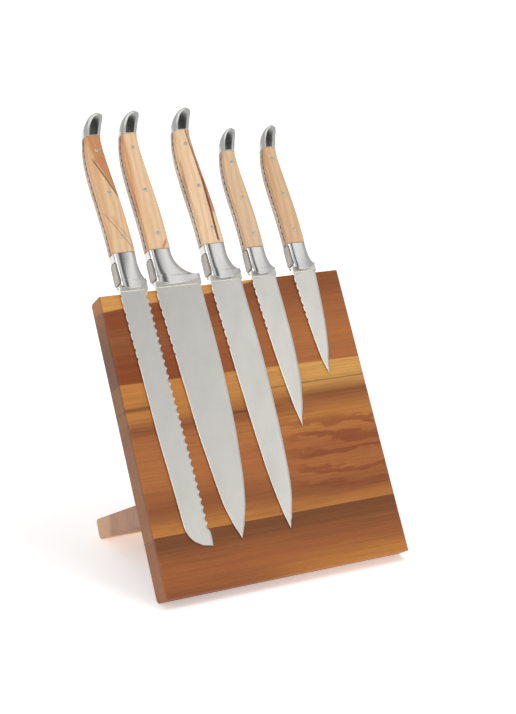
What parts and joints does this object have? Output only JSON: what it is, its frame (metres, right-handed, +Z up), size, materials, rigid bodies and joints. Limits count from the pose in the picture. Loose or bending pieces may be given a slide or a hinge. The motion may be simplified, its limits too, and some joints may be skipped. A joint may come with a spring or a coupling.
{
  "type": "magnetic knife block with knives",
  "caption": "Leaning magnetic wooden knife block on a folding rear leg, with bread, chef, carving, utility and paring knives that have wooden handles and curved steel caps.",
  "frame": {"origin": "on the surface the block stands on, in the middle of the narrow flat along the board's lower back edge", "axes": "+Z up, -Y towards the user whom the board's face leans away from, +X to the right seen from the front"},
  "size_m": [0.2064, 0.1972, 0.3379],
  "materials": {
    "acacia_board": "oiled, satin",
    "acacia_cover": "oiled, satin",
    "acacia_leg": "oiled, satin",
    "magnet": "dark, dull",
    "hinge_steel": "satin",
    "satin_blade": "fine satin",
    "olive_wood": "polished",
    "brushed_plate": "satin",
    "polished_steel": "polished"
  },
  "bodies": {
    "block": {"block_board": "acacia_board", "magnet_bar_top": "magnet", "slot_cover_top": "acacia_cover", "magnet_bar_middle": "magnet", "slot_cover_middle": "acacia_cover", "magnet_bar_bottom": "magnet", "slot_cover_bottom": "acacia_cover", "hinge_left_board_leaf": "hinge_steel", "hinge_right_board_leaf": "hinge_steel"},
    "leg": {"support_leg": "acacia_leg", "hinge_left_leg_leaf": "hinge_steel", "hinge_left_pin": "hinge_steel", "hinge_right_leg_leaf": "hinge_steel", "hinge_right_pin": "hinge_steel"},
    "bread_knife": {"bread_blade": "satin_blade", "bread_bolster": "polished_steel", "bread_spine_plate": "brushed_plate", "bread_scale_front": "olive_wood", "bread_scale_back": "olive_wood", "bread_end_cap": "polished_steel", "bread_rivet_1": "polished_steel", "bread_rivet_2": "polished_steel", "bread_rivet_3": "polished_steel"},
    "chef_knife": {"chef_blade": "satin_blade", "chef_bolster": "polished_steel", "chef_spine_plate": "brushed_plate", "chef_scale_front": "olive_wood", "chef_scale_back": "olive_wood", "chef_end_cap": "polished_steel", "chef_rivet_1": "polished_steel", "chef_rivet_2": "polished_steel", "chef_rivet_3": "polished_steel"},
    "carving_knife": {"carving_blade": "satin_blade", "carving_bolster": "polished_steel", "carving_spine_plate": "brushed_plate", "carving_scale_front": "olive_wood", "carving_scale_back": "olive_wood", "carving_end_cap": "polished_steel", "carving_rivet_1": "polished_steel", "carving_rivet_2": "polished_steel", "carving_rivet_3": "polished_steel"},
    "utility_knife": {"utility_blade": "satin_blade", "utility_bolster": "polished_steel", "utility_spine_plate": "brushed_plate", "utility_scale_front": "olive_wood", "utility_scale_back": "olive_wood", "utility_end_cap": "polished_steel", "utility_rivet_1": "polished_steel", "utility_rivet_2": "polished_steel", "utility_rivet_3": "polished_steel"},
    "paring_knife": {"paring_blade": "satin_blade", "paring_bolster": "polished_steel", "paring_spine_plate": "brushed_plate", "paring_scale_front": "olive_wood", "paring_scale_back": "olive_wood", "paring_end_cap": "polished_steel", "paring_rivet_1": "polished_steel", "paring_rivet_2": "polished_steel", "paring_rivet_3": "polished_steel"}
  },
  "joints": [
    {"name": "leg_fold", "type": "hinge", "parent": "block", "child": "leg", "pos_m": [0, 0.03275, 0.04792], "axis": [-1, 0, 0], "range_deg": [0, 94.5]},
    {"name": "bread_lift_off", "type": "slide", "parent": "block", "child": "bread_knife", "axis": [0, -0.8572, 0.515], "range_m": [0, 0.08]},
    {"name": "chef_lift_off", "type": "slide", "parent": "block", "child": "chef_knife", "axis": [0, -0.8572, 0.515], "range_m": [0, 0.08]},
    {"name": "carving_lift_off", "type": "slide", "parent": "block", "child": "carving_knife", "axis": [0, -0.8572, 0.515], "range_m": [0, 0.08]},
    {"name": "utility_lift_off", "type": "slide", "parent": "block", "child": "utility_knife", "axis": [0, -0.8572, 0.515], "range_m": [0, 0.08]},
    {"name": "paring_lift_off", "type": "slide", "parent": "block", "child": "paring_knife", "axis": [0, -0.8572, 0.515], "range_m": [0, 0.08]}
  ]
}
